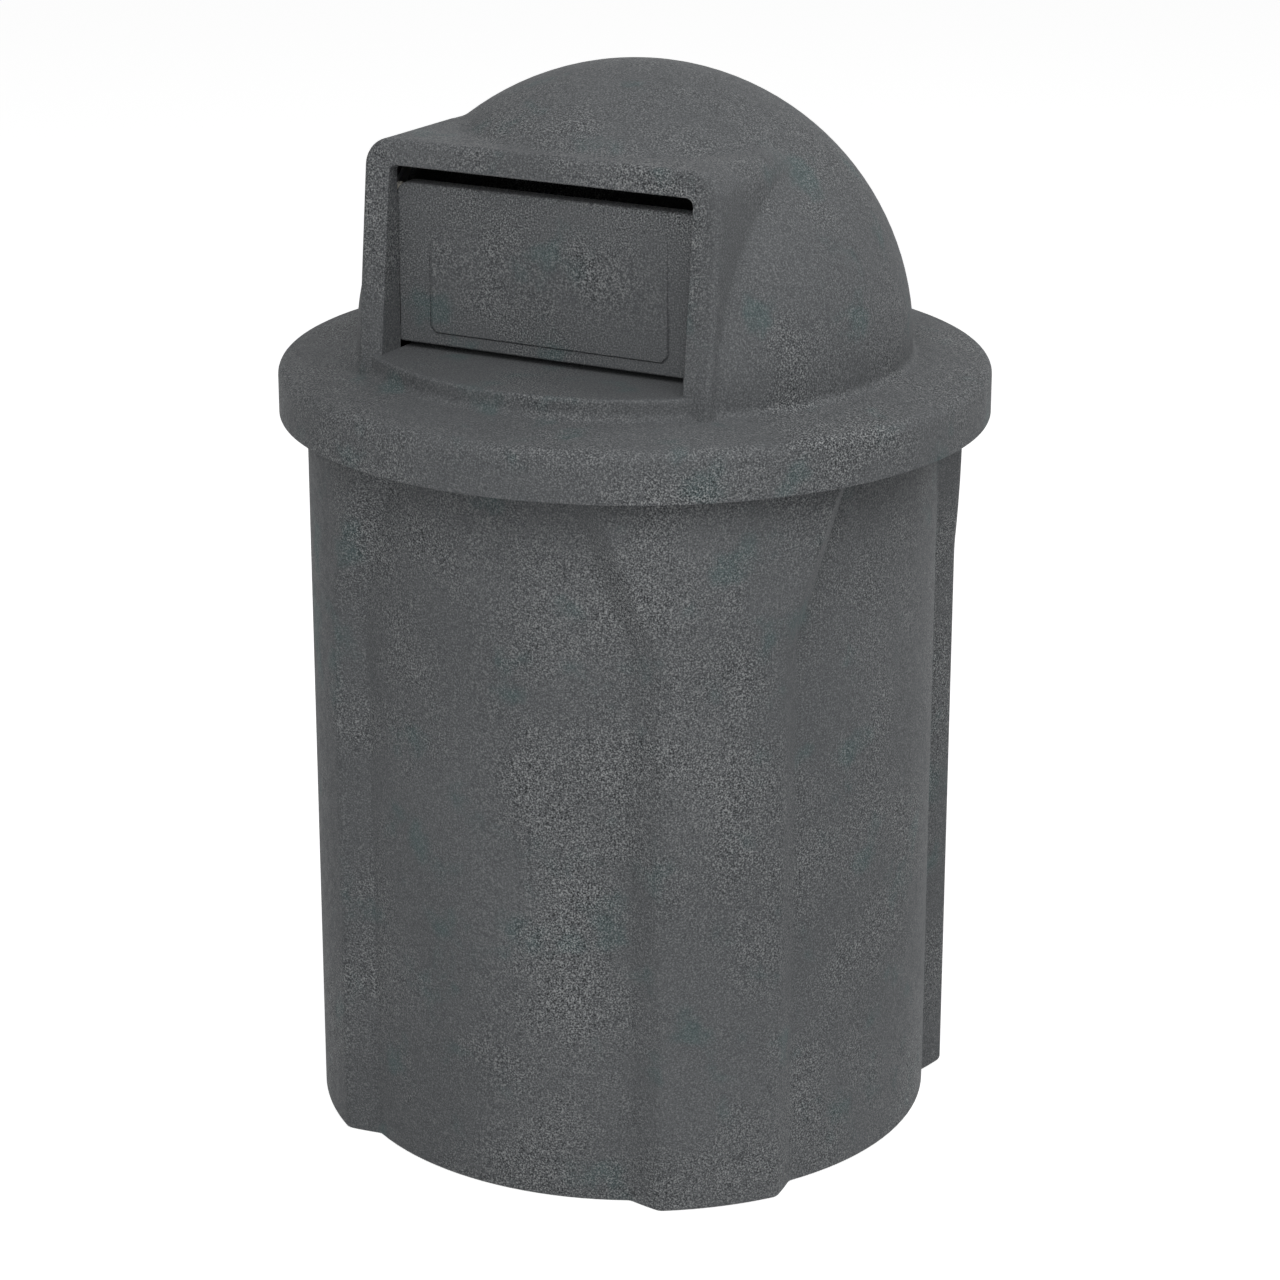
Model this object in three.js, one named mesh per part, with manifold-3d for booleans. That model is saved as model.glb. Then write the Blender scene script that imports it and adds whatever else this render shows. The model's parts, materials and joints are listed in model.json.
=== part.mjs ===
// Dome top waste receptacle: a ribbed, rotationally moulded body with a drop-in rigid liner, and a lift-off dome lid
// whose hood holds a push door. Millimetres, +Z up. The origin is on the ground under the middle of the body, and the
// door faces -Y.
import * as THREE from "three";
import { mergeVertices, toCreasedNormals } from "three/addons/utils/BufferGeometryUtils.js";
import Module from "manifold-3d";

const wasm = await Module();
wasm.setup();

// ---- Driving dimensions ----------------------------------------------------------------------------------------

const gap = 0.3; // between pieces that touch on the real object

// Body
const bodyHeight = 779;
const bodyWall = 6;
const panelRadius = 304.3; // outside of the sunken panels
const ribDepth = 23.7; // how far the four ribs stand proud of the panels
const ribCount = 4;
const ribTurn = 43; // degrees from the door to the first rib: the round lid sits a little off the middle
const ribFaceAngle = 10.6; // half the rib's outer face, in degrees about the axis
const ribSideAngle = 5.1; // each slanted side of a rib, in degrees about the axis
const flareStart = 578; // where a rib starts to widen into its Y
const flareRate = 0.073; // degrees of widening a millimetre of height, on each side
const shoulderHeight = 14; // the panels and ribs run out to the rim over this height
const rimBand = 25; // upright band of the rim over the shoulder, hidden by the lid's skirt
const footRounding = 5; // radius of the bottom edge
const rimRounding = 2;
const floorThickness = 6;
const floorRise = 8; // how far the middle of the floor is pushed up, so that the body stands on its edge
const standingWidth = 44; // width of the flat ring that the body stands on
const drainCount = 4;
const drainRadius = 7;
const drainCircle = 150;

// Liner
const linerWall = 3;
const linerBaseRadius = 262;
const linerSideClearance = 4.3; // from the liner's rim to the inside of the panels
const linerRimDrop = 35; // how far the liner's rim lies below the body's
const linerRimWidth = 12; // leaves room for fingers between the liner's wall and the body
const linerRimHeight = 14;
const handHoldLength = 96;
const handHoldHeight = 30;
const handHoldRounding = 8;
const handHoldDrop = 34; // from the liner's rim to the top of a hand hold

// Lid
const lidRadius = 355.5;
const lidWall = 6;
const lidClearance = 3.5; // from the skirt to the body's rim, all round
const skirtDepth = 50;
const skirtRounding = 12; // radius of the skirt's top edge
const brimSlope = 0.109; // rise of the brim towards the dome
const domeRadius = 276.7;
const domeBase = 9.4; // upright base under the half sphere
const domeFillet = 9; // where the dome meets the brim

// Hood, seen from the front
const openingWidth = 328;
const openingHeight = 183;
const openingRounding = 8;
const sillRise = 10.8; // the sill's height over the middle of the half sphere
const stileWidth = 28.7; // hood face on each side of the opening
const lintelHeight = 25; // hood face over the opening
const hoodRounding = 27; // the hood's two top corners
const ridgeRounding = 6; // where the face meets the top and sides
const faceReach = 213; // from the axis to the hood's face, at the sill
const faceLean = 6.07; // degrees that the face leans back
const hoodShoulderReach = 55; // where the hood starts to close on the dome
const hoodShoulderInset = 2.5; // how much the hood has narrowed there, on each side and on top
const hoodRootCover = 40; // how far inside the dome's surface the hood ends

// Door and its hanging
const jambEndReach = 178.3; // from the axis to the inner end of the jambs
const sillEndReach = 150;
const doorThickness = 20;
const doorOverlap = 4; // the door reaches this far behind each jamb
const doorTopGap = 19;
const doorBottomGap = 11.5;
const doorTopRounding = 14;
const doorBottomRounding = 5;
const doorEdgeRounding = 2.5;
const fieldProud = 1.8; // the raised field on the door's front
const fieldSideMargin = 38;
const fieldTopMargin = 22;
const fieldBottomMargin = 8;
const fieldChamfer = 6;
const padThickness = 2;
const padWidth = 4.8;
const padHeight = 40;
const padRise = 12; // from the door's bottom edge to a pad
const rodRadius = 4.75;
const rodDrop = 12; // from the door's top edge to the rod
const rodEnd = 7.5; // the rod's length past each bracket
const rodChamfer = 0.8;
const runningClearance = 0.3; // round the rod in its bushes and brackets
const doorBoreClearance = 1.2; // round the rod inside the door
const bushWall = 1.9;
const bushLength = 25;
const bushFlangeRadius = 9.5;
const bushFlange = 1.7;
const clipThickness = 1.2;
const clipWidth = 4.6;
const clipMouth = 6.4;
const grooveDepth = 1.1;
const bracketThickness = 3;
const bracketBend = 3; // inside radius of the bend
const bracketFoot = 36; // length of the leg under the ceiling
const bracketTail = 30; // from the rod back to the bracket's edge
const bracketEye = 10; // radius of the bracket's end round the rod
const bossRadius = 9;
const bossDepth = 12; // from the hood's ceiling to the bosses' ends
const screwSpacing = 21;
const screwTail = 9.4; // from the bracket's back edge to the rear screw
const screwInset = 23.3; // from the bracket's upright leg to the screws
const screwRadius = 2.4;
const screwLength = 12;
const screwHeadRadius = 4.8;
const screwHeadHeight = 3.2;
const screwSocket = 1.6; // radius of the hexagonal recess
const insertRadius = 4.5;
const insertLength = 9.5;

// Facets
const lidSegments = 64;
const linerSegments = 48;
const smallSegments = 24;
const screwSegments = 16;

// ---- Places worked out from them -------------------------------------------------------------------------------

const ribRadius = panelRadius + ribDepth;
const rimRadius = lidRadius - lidWall - lidClearance;
const shoulderStart = bodyHeight - rimBand - shoulderHeight;
const standingRadius = panelRadius - standingWidth - footRounding;
const linerBottom = floorThickness + floorRise + gap;
const linerTop = bodyHeight - linerRimDrop;
const linerRimRadius = panelRadius - bodyWall - linerSideClearance;
const linerTopRadius = linerRimRadius - linerRimWidth;

// The brim's top surface, as a height over the ground at a distance from the axis. Its underside rests on the rim.
const brimTop = (radius) => bodyHeight + gap + lidWall + brimSlope * (rimRadius - radius);
const skirtBottom = brimTop(lidRadius) - skirtDepth;
const domeCentre = brimTop(domeRadius) + domeBase;

const sill = domeCentre + sillRise;
const openingTop = sill + openingHeight;
const hoodTop = openingTop + lintelHeight;
const hoodHalfWidth = openingWidth / 2 + stileWidth;
const hoodFloor = brimTop(domeRadius) - lidWall / 2;
const leanSlope = Math.tan(THREE.MathUtils.degToRad(faceLean));

const doorReach = jambEndReach - padThickness - 2 * gap; // from the axis to the door's front
const doorTop = openingTop - doorTopGap;
const doorBottom = sill + doorBottomGap;
const doorHalfWidth = openingWidth / 2 + doorOverlap;
const rodReach = doorReach - doorThickness / 2;
const rodHeight = doorTop - rodDrop;
const flangeStart = doorHalfWidth + gap;
const bracketInside = flangeStart + bushFlange + gap;
const bracketOutside = bracketInside + bracketThickness;
const ceiling = hoodTop - lidWall;
const bossEnd = ceiling - bossDepth;
const footTop = bossEnd - gap;
const screwX = bracketInside + bracketThickness - screwInset;
const screwReaches = [0, 1].map((i) => rodReach - bracketTail + screwTail + i * screwSpacing);
const shankHole = screwRadius + gap;

// ---- Finishes --------------------------------------------------------------------------------------------------

const finish = (color, roughness, metalness = 0) => ({ color, roughness, metalness });
const granitePlastic = finish(0x54585a, 0.85);
const linerPlastic = finish(0x2b2d2f, 0.6);
const plainSteel = finish(0xa9adb0, 0.35, 1);
const stainlessSteel = finish(0xc2c4c6, 0.3, 1);
const brass = finish(0xb08d4a, 0.35, 1);
const nylon = finish(0xe6e2d6, 0.5);
const rubber = finish(0x1b1c1d, 0.9);

// ---- Solids and meshes -----------------------------------------------------------------------------------------

const creaseAngle = THREE.MathUtils.degToRad(32);
const receptacle = new THREE.Group();

// A closed geometry as a solid that can be joined and cut.
function solid(geometry) {
  const bare = new THREE.BufferGeometry();
  bare.setAttribute("position", geometry.getAttribute("position"));
  if (geometry.index) bare.setIndex(geometry.index);
  const merged = mergeVertices(bare, 1e-4);
  return new wasm.Manifold(
    new wasm.Mesh({
      numProp: 3,
      vertProperties: merged.attributes.position.array,
      triVerts: new Uint32Array(merged.index.array),
    }),
  );
}

// A solid as a mesh geometry with sharp edges where its faces meet at more than the crease angle.
function geometryOf(shape) {
  const { vertProperties, triVerts } = shape.getMesh();
  const geometry = new THREE.BufferGeometry();
  geometry.setAttribute("position", new THREE.BufferAttribute(vertProperties, 3));
  geometry.setIndex(new THREE.BufferAttribute(triVerts, 1));
  return toCreasedNormals(geometry, creaseAngle);
}

function addPiece(name, shape, looks) {
  const mesh = new THREE.Mesh(geometryOf(shape), new THREE.MeshStandardMaterial(looks));
  mesh.name = name;
  receptacle.add(mesh);
}

// A profile of [radius, height] points turned about the Z axis. It starts and ends on the axis, or closes on itself.
function turned(profile, segments) {
  const points = profile.map(([radius, height]) => new THREE.Vector2(radius, height));
  return solid(new THREE.LatheGeometry(points, segments).rotateX(Math.PI / 2));
}

// A profile of [radius, distance along X] points turned about the rod's axis.
function turnedAlongX(profile, segments, reach, height) {
  const points = profile.map(([radius, along]) => new THREE.Vector2(radius, along));
  return solid(new THREE.LatheGeometry(points, segments).rotateZ(-Math.PI / 2).translate(0, -reach, height));
}

// A flat shape drawn in X and Z, made solid from one Y to another.
function slabAlongY(shape, fromY, toY, curveSegments = 6) {
  const geometry = new THREE.ExtrudeGeometry(shape, { depth: toY - fromY, bevelEnabled: false, curveSegments });
  return solid(geometry.rotateX(Math.PI / 2).translate(0, toY, 0));
}

// A flat shape drawn in Y and Z, made solid from one X to another.
function slabAlongX(shape, fromX, toX, curveSegments = 8) {
  const geometry = new THREE.ExtrudeGeometry(shape, { depth: toX - fromX, bevelEnabled: false, curveSegments });
  return solid(geometry.rotateY(Math.PI / 2).rotateX(Math.PI / 2).translate(fromX, 0, 0));
}

function block(low, high) {
  const size = high.map((value, i) => value - low[i]);
  const middle = high.map((value, i) => (value + low[i]) / 2);
  return solid(new THREE.BoxGeometry(...size).translate(...middle));
}

// A round bar along X between two places, its axis at a reach in front of the part's axis.
function barAlongX(radius, fromX, toX, reach, height, segments = smallSegments) {
  const bar = new THREE.CylinderGeometry(radius, radius, toX - fromX, segments).rotateZ(Math.PI / 2);
  return solid(bar.translate((fromX + toX) / 2, -reach, height));
}

// A round bar along Z.
function barAlongZ(radius, fromZ, toZ, x, y, segments = screwSegments) {
  const bar = new THREE.CylinderGeometry(radius, radius, toZ - fromZ, segments).rotateX(Math.PI / 2);
  return solid(bar.translate(x, y, (fromZ + toZ) / 2));
}

// Rings of as many points each, bridged in order and closed by a fan at each end.
function lofted(rings) {
  const count = rings[0].length;
  const points = rings.flat();
  const faces = [];
  for (let level = 0; level + 1 < rings.length; level++) {
    for (let i = 0; i < count; i++) {
      const here = level * count + i;
      const next = level * count + ((i + 1) % count);
      faces.push(here, next, next + count, here, next + count, here + count);
    }
  }
  const addFan = (ring, start, turnedDown) => {
    const middle = ring.reduce((sum, p) => sum.add(p), new THREE.Vector3()).divideScalar(count);
    const centre = points.push(middle) - 1;
    for (let i = 0; i < count; i++) {
      const pair = [start + i, start + ((i + 1) % count)];
      faces.push(centre, ...(turnedDown ? pair.reverse() : pair));
    }
  };
  addFan(rings[0], 0, true);
  addFan(rings.at(-1), (rings.length - 1) * count, false);
  return solid(new THREE.BufferGeometry().setFromPoints(points).setIndex(faces));
}

// Points of an arc about a centre, in degrees, both ends included.
function arc(centreX, centreY, radius, fromDegrees, toDegrees, steps) {
  return Array.from({ length: steps + 1 }, (_, i) => {
    const angle = THREE.MathUtils.degToRad(fromDegrees + ((toDegrees - fromDegrees) * i) / steps);
    return [centreX + radius * Math.cos(angle), centreY + radius * Math.sin(angle)];
  });
}

// ---- Body ------------------------------------------------------------------------------------------------------

// The body's outline at one height: four ribs with slanted sides, and curved panels between them. The outline runs
// out to a full circle at the rim. inset moves the whole outline inwards.
function bodyOutline(height, inset) {
  const widening = flareRate * Math.max(0, height - flareStart);
  const faceHalf = ribFaceAngle + widening;
  const sideHalf = faceHalf + ribSideAngle;
  const pitch = 360 / ribCount;
  const shoulder = THREE.MathUtils.clamp((height - shoulderStart) / shoulderHeight, 0, 1);
  const blend = (radius) => THREE.MathUtils.lerp(radius, rimRadius, shoulder) - inset;
  const ring = [];
  const addArc = (middle, from, to, radius, steps) => {
    for (let i = 0; i <= steps; i++) {
      const angle = THREE.MathUtils.degToRad(middle + from + ((to - from) * i) / steps);
      ring.push(new THREE.Vector3(radius * Math.sin(angle), -radius * Math.cos(angle), height));
    }
  };
  for (let rib = 0; rib < ribCount; rib++) {
    const middle = ribTurn + rib * pitch;
    addArc(middle, -faceHalf, faceHalf, blend(ribRadius), 3);
    addArc(middle, sideHalf, pitch - sideHalf, blend(panelRadius), 8);
  }
  return ring;
}

function makeBody() {
  const outside = lofted([
    bodyOutline(0, footRounding),
    bodyOutline(footRounding * (1 - Math.SQRT1_2), footRounding * (1 - Math.SQRT1_2)),
    bodyOutline(footRounding, 0),
    bodyOutline(flareStart, 0),
    bodyOutline(shoulderStart, 0),
    bodyOutline(shoulderStart + shoulderHeight, 0),
    bodyOutline(bodyHeight - rimRounding, 0),
    bodyOutline(bodyHeight, rimRounding),
  ]);
  const inside = lofted([
    bodyOutline(floorThickness, bodyWall + footRounding),
    bodyOutline(floorThickness + footRounding, bodyWall),
    bodyOutline(flareStart, bodyWall),
    bodyOutline(shoulderStart, bodyWall),
    bodyOutline(shoulderStart + shoulderHeight, bodyWall),
    bodyOutline(bodyHeight + 1, bodyWall),
  ]);
  const plateau = turned(
    [
      [0, floorThickness - 1],
      [standingRadius + floorThickness + floorRise, floorThickness - 1],
      [standingRadius + floorThickness, floorThickness + floorRise],
      [0, floorThickness + floorRise],
    ],
    lidSegments,
  );
  const hollow = turned(
    [
      [0, -1],
      [standingRadius + 1, -1],
      [standingRadius - floorRise, floorRise],
      [0, floorRise],
    ],
    lidSegments,
  );
  let body = outside.subtract(inside).add(plateau).subtract(hollow);
  for (let i = 0; i < drainCount; i++) {
    const angle = (2 * Math.PI * (i + 0.5)) / drainCount;
    const [x, y] = [drainCircle * Math.cos(angle), drainCircle * Math.sin(angle)];
    body = body.subtract(barAlongZ(drainRadius, -1, linerBottom, x, y));
  }
  addPiece("body_shell", body, granitePlastic);
}

// ---- Liner -----------------------------------------------------------------------------------------------------

function makeLiner() {
  const innerTop = linerTopRadius - linerWall;
  const rimEdge = linerRimRadius - linerWall;
  const profile = [
    [0, linerBottom],
    [linerBaseRadius - 2 * linerWall, linerBottom],
    [linerBaseRadius, linerBottom + 2 * linerWall],
    [linerTopRadius, linerTop - linerWall],
    [rimEdge, linerTop - linerWall],
    [rimEdge, linerTop - linerRimHeight],
    [linerRimRadius, linerTop - linerRimHeight],
    ...arc(linerRimRadius - linerWall, linerTop - linerWall, linerWall, 0, 90, 3),
    [innerTop, linerTop],
    [linerBaseRadius - linerWall, linerBottom + 2 * linerWall],
    [linerBaseRadius - 3 * linerWall, linerBottom + linerWall],
    [0, linerBottom + linerWall],
  ];
  let liner = turned(profile, linerSegments);
  const corner = handHoldRounding;
  const straight = handHoldLength / 2 - corner;
  const upper = linerTop - handHoldDrop - corner;
  const lower = linerTop - handHoldDrop - handHoldHeight + corner;
  const hole = new THREE.Shape();
  hole.absarc(straight, lower, corner, -Math.PI / 2, 0);
  hole.absarc(straight, upper, corner, 0, Math.PI / 2);
  hole.absarc(-straight, upper, corner, Math.PI / 2, Math.PI);
  hole.absarc(-straight, lower, corner, Math.PI, (3 * Math.PI) / 2);
  liner = liner.subtract(slabAlongX(hole, -2 * linerTopRadius, 2 * linerTopRadius));
  addPiece("liner", liner, linerPlastic);
}

// ---- Lid -------------------------------------------------------------------------------------------------------

// The turned part of the lid, skirt, brim and dome. depth is 0 for the outside and the wall for the inside.
function lidRound(depth) {
  const outer = lidRadius - depth;
  const top = (radius) => brimTop(radius) - depth;
  const edge = Math.max(skirtRounding - depth, 1);
  const dome = domeRadius - depth;
  const fillet = Math.min(domeFillet, domeBase - 0.2) + depth;
  const bottom = skirtBottom - (depth > 0 ? 1 : 0);
  return turned(
    [
      [0, bottom],
      [outer, bottom],
      ...arc(outer - edge, top(outer - edge) - edge, edge, 0, 90, 4),
      ...arc(dome + fillet, top(dome + fillet) + fillet, fillet, 270, 180, 3),
      ...arc(0, domeCentre, dome, 0, 90, 11).slice(0, -1),
      [0, domeCentre + dome],
    ],
    lidSegments,
  );
}

// An outline of the hood seen from the front: upright sides and two rounded top corners. It leans back by its slope.
function hoodSection(reach, slope, halfWidth, top, bottom, rounding) {
  const corner = Math.max(rounding, 1);
  const outline = [
    [-halfWidth, bottom],
    [halfWidth, bottom],
    ...arc(halfWidth - corner, top - corner, corner, 0, 90, 5),
    ...arc(corner - halfWidth, top - corner, corner, 90, 180, 5),
  ];
  return outline.map(([x, z]) => new THREE.Vector3(x, slope * (z - sill) - reach, z));
}

// The hood from its root inside the dome to its leaning face. depth is 0 for the outside and the wall for the inside,
// which runs on down through the brim, so that the hood's corners stay one skin with it.
function hoodForm(depth) {
  const halfWidth = hoodHalfWidth - depth;
  const top = hoodTop - depth;
  const bottom = hoodFloor - 2 * depth;
  const reach = faceReach - depth;
  const rounding = hoodRounding - depth;
  const ridge = Math.max(ridgeRounding - depth, 0.5);
  const cut = ridge * (1 - Math.SQRT1_2);
  const rootAngle = Math.atan2(hoodHalfWidth, hoodTop - domeCentre);
  const rootRadius = domeRadius - hoodRootCover - depth;
  const rootHalfWidth = rootRadius * Math.sin(rootAngle);
  const rootTop = domeCentre + rootRadius * Math.cos(rootAngle);
  const inset = hoodShoulderInset;
  return lofted([
    hoodSection(0, 0, rootHalfWidth, rootTop, bottom, rounding),
    hoodSection(hoodShoulderReach, leanSlope / 2, halfWidth - inset, top - inset, bottom, rounding),
    hoodSection(reach - ridge, leanSlope, halfWidth, top, bottom, rounding),
    hoodSection(reach - cut, leanSlope, halfWidth - cut, top - cut, bottom, rounding - cut),
    hoodSection(reach, leanSlope, halfWidth - ridge, top - ridge, bottom, rounding - ridge),
  ]);
}

// Everything in front of the hood's leaning face and over the sill, where the dome is cut back to a shelf.
function recess(depth) {
  const far = 2 * lidRadius;
  const reachAt = (height) => faceReach - depth - leanSlope * (height - sill);
  const shape = new THREE.Shape([
    new THREE.Vector2(-far, sill - depth),
    new THREE.Vector2(-reachAt(sill - depth), sill - depth),
    new THREE.Vector2(-reachAt(sill + far), sill + far),
    new THREE.Vector2(-far, sill + far),
  ]);
  return slabAlongX(shape, -far, far);
}

// The doorway's outline: a square sill and two rounded top corners. grow widens it to the outside of the jambs.
function doorway(grow) {
  const halfWidth = openingWidth / 2 + grow;
  const top = openingTop + grow;
  const corner = openingRounding + grow;
  const shape = new THREE.Shape();
  shape.moveTo(-halfWidth, sill - grow);
  shape.lineTo(halfWidth, sill - grow);
  shape.absarc(halfWidth - corner, top - corner, corner, 0, Math.PI / 2);
  shape.absarc(corner - halfWidth, top - corner, corner, Math.PI / 2, Math.PI);
  return shape;
}

const bossPlaces = [-1, 1].flatMap((side) => screwReaches.map((reach) => [side * screwX, -reach]));

function makeLid() {
  const outside = lidRound(0).add(hoodForm(0)).subtract(recess(0));
  const inside = lidRound(lidWall).add(hoodForm(lidWall)).subtract(recess(lidWall));
  const jambs = slabAlongY(doorway(lidWall), -lidRadius, -jambEndReach);
  const sillPlate = block(
    [-openingWidth / 2 - lidWall, -faceReach, sill - lidWall],
    [openingWidth / 2 + lidWall, -sillEndReach, sill],
  );
  let lid = outside.subtract(inside).add(jambs.intersect(outside)).add(sillPlate);
  lid = lid.subtract(slabAlongY(doorway(0), -2 * lidRadius, -sillEndReach));
  for (const [x, y] of bossPlaces) {
    lid = lid.add(barAlongZ(bossRadius, bossEnd, ceiling + lidWall / 2, x, y, smallSegments));
    lid = lid.subtract(barAlongZ(insertRadius + gap, bossEnd - 1, bossEnd + insertLength + 2 * gap, x, y));
  }
  addPiece("dome_lid", lid, granitePlastic);
}

// ---- Door ------------------------------------------------------------------------------------------------------

// An upright rectangle in X and Z whose top and bottom corners are rounded differently.
function doorOutline(inset) {
  const halfWidth = doorHalfWidth - inset;
  const top = doorTop - inset;
  const bottom = doorBottom + inset;
  const upper = doorTopRounding - inset;
  const lower = doorBottomRounding - inset;
  const shape = new THREE.Shape();
  shape.absarc(lower - halfWidth, bottom + lower, lower, Math.PI, (3 * Math.PI) / 2);
  shape.absarc(halfWidth - lower, bottom + lower, lower, (3 * Math.PI) / 2, 2 * Math.PI);
  shape.absarc(halfWidth - upper, top - upper, upper, 0, Math.PI / 2);
  shape.absarc(upper - halfWidth, top - upper, upper, Math.PI / 2, Math.PI);
  return shape;
}

// The door's panel, its outside edges rounded.
function doorPanel() {
  const edge = doorEdgeRounding;
  const panel = new THREE.ExtrudeGeometry(doorOutline(edge), {
    depth: doorThickness - 2 * edge,
    bevelThickness: edge,
    bevelSize: edge,
    bevelSegments: 2,
    curveSegments: 4,
  });
  return solid(panel.rotateX(Math.PI / 2).translate(0, edge + doorThickness - 2 * edge - doorReach, 0));
}

// The raised field on the door's front, with cut corners and slanted sides.
function doorField() {
  const halfWidth = doorHalfWidth - fieldSideMargin - fieldProud;
  const top = doorTop - fieldTopMargin - fieldProud;
  const bottom = doorBottom + fieldBottomMargin + fieldProud;
  const cut = fieldChamfer;
  const outline = [
    [-halfWidth, bottom + cut],
    [cut - halfWidth, bottom],
    [halfWidth - cut, bottom],
    [halfWidth, bottom + cut],
    [halfWidth, top - cut],
    [halfWidth - cut, top],
    [cut - halfWidth, top],
    [-halfWidth, top - cut],
  ];
  const field = new THREE.ExtrudeGeometry(new THREE.Shape(outline.map(([x, z]) => new THREE.Vector2(x, z))), {
    depth: doorThickness / 2,
    bevelThickness: fieldProud,
    bevelSize: fieldProud,
    bevelSegments: 1,
  });
  return solid(field.rotateX(Math.PI / 2).translate(0, doorThickness / 2 - doorReach, 0));
}

function makeDoor() {
  const bushHole = rodRadius + runningClearance + bushWall + gap;
  let door = doorPanel().add(doorField());
  const bore = rodRadius + doorBoreClearance;
  door = door.subtract(barAlongX(bore, -doorHalfWidth - 1, doorHalfWidth + 1, rodReach, rodHeight));
  for (const side of [-1, 1]) {
    const [from, to] = [side * (doorHalfWidth - bushLength - gap), side * (doorHalfWidth + 1)].sort((a, b) => a - b);
    door = door.subtract(barAlongX(bushHole, from, to, rodReach, rodHeight));
  }
  addPiece("push_door", door, granitePlastic);
}

// ---- The door's hanging ----------------------------------------------------------------------------------------

// A piece that is made for the right-hand side, +X, and mirrored for the left.
function addPair(name, shape, looks) {
  addPiece(name + "_right", shape, looks);
  addPiece(name + "_left", shape.mirror([1, 0, 0]), looks);
}

function makeRod() {
  const end = bracketOutside + rodEnd;
  const grooveFloor = rodRadius - grooveDepth;
  const grooveStart = bracketOutside + gap / 2;
  const grooveEnd = grooveStart + clipThickness + gap;
  const half = [
    [rodRadius, grooveStart],
    [grooveFloor, grooveStart],
    [grooveFloor, grooveEnd],
    [rodRadius, grooveEnd],
    [rodRadius, end - rodChamfer],
    [rodRadius - rodChamfer, end],
    [0, end],
  ];
  const profile = [...half.map(([radius, along]) => [radius, -along]).reverse(), ...half];
  const rod = turnedAlongX(profile, smallSegments, rodReach, rodHeight);
  addPiece("hinge_rod", rod, plainSteel);
}

// Flanged bushes, pressed into the door's ends, turn on the rod and keep the door off the brackets.
function makeBushes() {
  const inner = rodRadius + runningClearance;
  const outer = inner + bushWall;
  const start = doorHalfWidth - bushLength;
  const profile = [
    [inner, start],
    [outer, start],
    [outer, flangeStart],
    [bushFlangeRadius, flangeStart],
    [bushFlangeRadius, flangeStart + bushFlange],
    [inner, flangeStart + bushFlange],
    [inner, start],
  ];
  addPair("door_bush", turnedAlongX(profile, smallSegments, rodReach, rodHeight), nylon);
}

// Open clips snapped into the rod's grooves, outside the brackets.
function makeClips() {
  const inner = rodRadius - grooveDepth + gap;
  const outer = inner + clipWidth;
  const from = bracketOutside + gap;
  const to = from + clipThickness;
  const ring = turnedAlongX(
    [
      [inner, from],
      [outer, from],
      [outer, to],
      [inner, to],
      [inner, from],
    ],
    smallSegments,
    rodReach,
    rodHeight,
  );
  const mouth = block(
    [from - 1, -rodReach - clipMouth / 2, rodHeight],
    [to + 1, -rodReach + clipMouth / 2, rodHeight + 2 * outer],
  );
  addPair("rod_clip", ring.subtract(mouth), plainSteel);
}

// A bent steel bracket: one leg is screwed up to the hood's bosses, and the other hangs down and holds the rod.
function makeBrackets() {
  const outerBend = bracketBend + bracketThickness;
  const left = bracketOutside - bracketFoot;
  const footBottom = footTop - bracketThickness;
  const low = rodHeight - bracketEye;
  const angle = new THREE.Shape();
  angle.moveTo(left, footBottom);
  angle.absarc(bracketInside - bracketBend, footBottom - bracketBend, bracketBend, Math.PI / 2, 0, true);
  angle.lineTo(bracketInside, low);
  angle.lineTo(bracketOutside, low);
  angle.absarc(bracketOutside - outerBend, footTop - outerBend, outerBend, 0, Math.PI / 2);
  angle.lineTo(left, footTop);
  const back = -rodReach + bracketTail;
  const front = -rodReach - bracketEye;
  const bent = slabAlongY(angle, front, back, 4);
  const outline = new THREE.Shape();
  outline.moveTo(front, footTop + 1);
  outline.absarc(-rodReach, rodHeight, bracketEye, Math.PI, 2 * Math.PI - Math.PI / 6);
  outline.lineTo(back, footTop - 2 * outerBend);
  outline.lineTo(back, footTop + 1);
  let bracket = bent.intersect(slabAlongX(outline, left - 1, bracketOutside + 1));
  const rodHole = rodRadius + runningClearance;
  bracket = bracket.subtract(barAlongX(rodHole, left - 1, bracketOutside + 1, rodReach, rodHeight));
  for (const reach of screwReaches) {
    bracket = bracket.subtract(barAlongZ(shankHole, footBottom - 1, footTop + 1, screwX, -reach));
  }
  addPair("hinge_bracket", bracket, plainSteel);
}

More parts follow.
